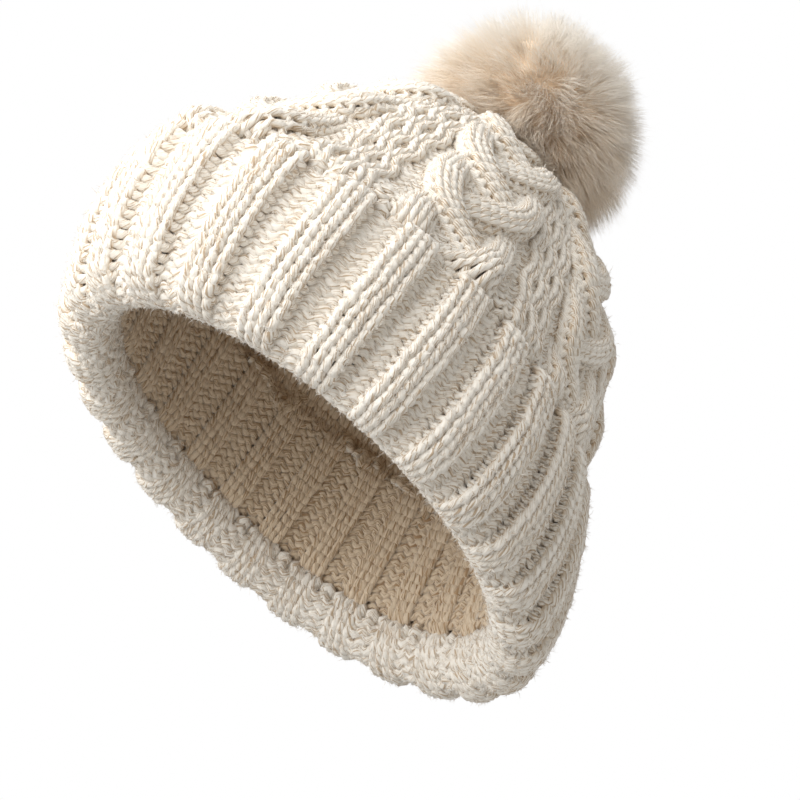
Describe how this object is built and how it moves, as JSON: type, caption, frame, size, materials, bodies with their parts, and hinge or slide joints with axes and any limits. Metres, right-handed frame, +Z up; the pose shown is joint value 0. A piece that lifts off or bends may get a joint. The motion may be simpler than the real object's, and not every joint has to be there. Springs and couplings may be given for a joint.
{
  "type": "pom pom beanie",
  "caption": "Knitted winter hat with a cabled crown, a deep turned-up ribbed cuff and a detachable round fur pom on top.",
  "frame": {"origin": "centre of the head opening, on the plane that the brim rests on", "axes": "+Z up from the opening to the crown, -Y to the front of the hat, +X to the wearer's left"},
  "size_m": [0.1934, 0.2429, 0.2137],
  "materials": {
    "crown_yarn": "soft heathered yarn",
    "cuff_yarn": "soft heathered yarn",
    "backing_plastic": "matt",
    "snap_metal": "satin",
    "spring_steel": "bright",
    "sewing_thread": "twisted thread",
    "felt": "felt",
    "fur_backing": "knitted backing",
    "filling": "soft fibre",
    "fur": "long soft pile"
  },
  "bodies": {
    "hat": {"knit_crown": "crown_yarn", "crown_gather_yarn": "crown_yarn", "back_seam_yarn": "crown_yarn", "stud_backing_disc": "backing_plastic", "snap_stud": "snap_metal", "stud_sewing_thread": "sewing_thread"},
    "cuff": {"ribbed_cuff": "cuff_yarn"},
    "snap_ring": {"snap_spring": "spring_steel"},
    "socket": {"snap_socket": "snap_metal"},
    "pom": {"socket_sewing_thread": "sewing_thread", "pom_base_felt": "felt", "pom_drawstring": "sewing_thread", "pom_fur_backing": "fur_backing", "pom_filling": "filling", "pom_fur_pile": "fur"}
  },
  "joints": [
    {"name": "cuff_turn_down", "type": "slide", "parent": "hat", "child": "cuff", "axis": [0, 0.3552, -0.9348], "range_m": [0, 0.06]},
    {"name": "snap_pull", "type": "slide", "parent": "hat", "child": "snap_ring", "axis": [0, 0, 1], "range_m": [0, 0.03]},
    {"name": "pom_spin", "type": "hinge", "parent": "snap_ring", "child": "socket", "pos_m": [0, -0.02, 0.146], "axis": [0, 0, 1], "continuous": true},
    {"name": "pom_rock", "type": "hinge", "parent": "socket", "child": "pom", "pos_m": [0, -0.02, 0.15105], "axis": [1, 0, 0], "range_deg": [-20, 20], "stiffness_Nm_per_rad": 0.03}
  ]
}
